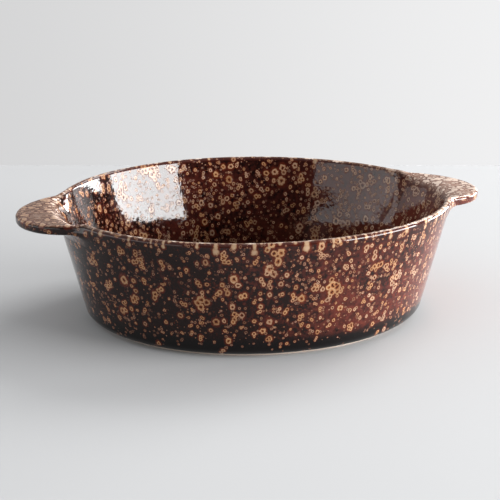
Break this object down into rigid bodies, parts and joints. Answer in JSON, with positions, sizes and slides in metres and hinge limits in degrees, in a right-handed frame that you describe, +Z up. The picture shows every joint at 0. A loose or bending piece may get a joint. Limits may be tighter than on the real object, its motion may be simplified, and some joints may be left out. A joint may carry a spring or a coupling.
{
  "type": "oval bowl",
  "caption": "Oval stoneware bowl with a flared wall, a rounded lip and a flat rounded handle at each end of the rim.",
  "frame": {"origin": "under the middle of the foot, on the surface that the bowl stands on", "axes": "+X from the left handle to the right handle, +Y across the bowl, +Z up"},
  "size_m": [0.3068, 0.228, 0.076],
  "materials": {
    "stoneware": "fired clay under the glaze",
    "bare_stoneware": "bare fired clay, matt",
    "inner_glaze": "glossy dark red-brown glaze with tan ring speckles",
    "outer_glaze": "glossy dark brown glaze with tan ring speckles, cream along the lip"
  },
  "bodies": {
    "root": {"wall": "stoneware", "floor": "stoneware", "foot_ring": "bare_stoneware", "left_handle": "stoneware", "right_handle": "stoneware", "inner_glaze": "inner_glaze", "outer_glaze": "outer_glaze"}
  },
  "joints": []
}
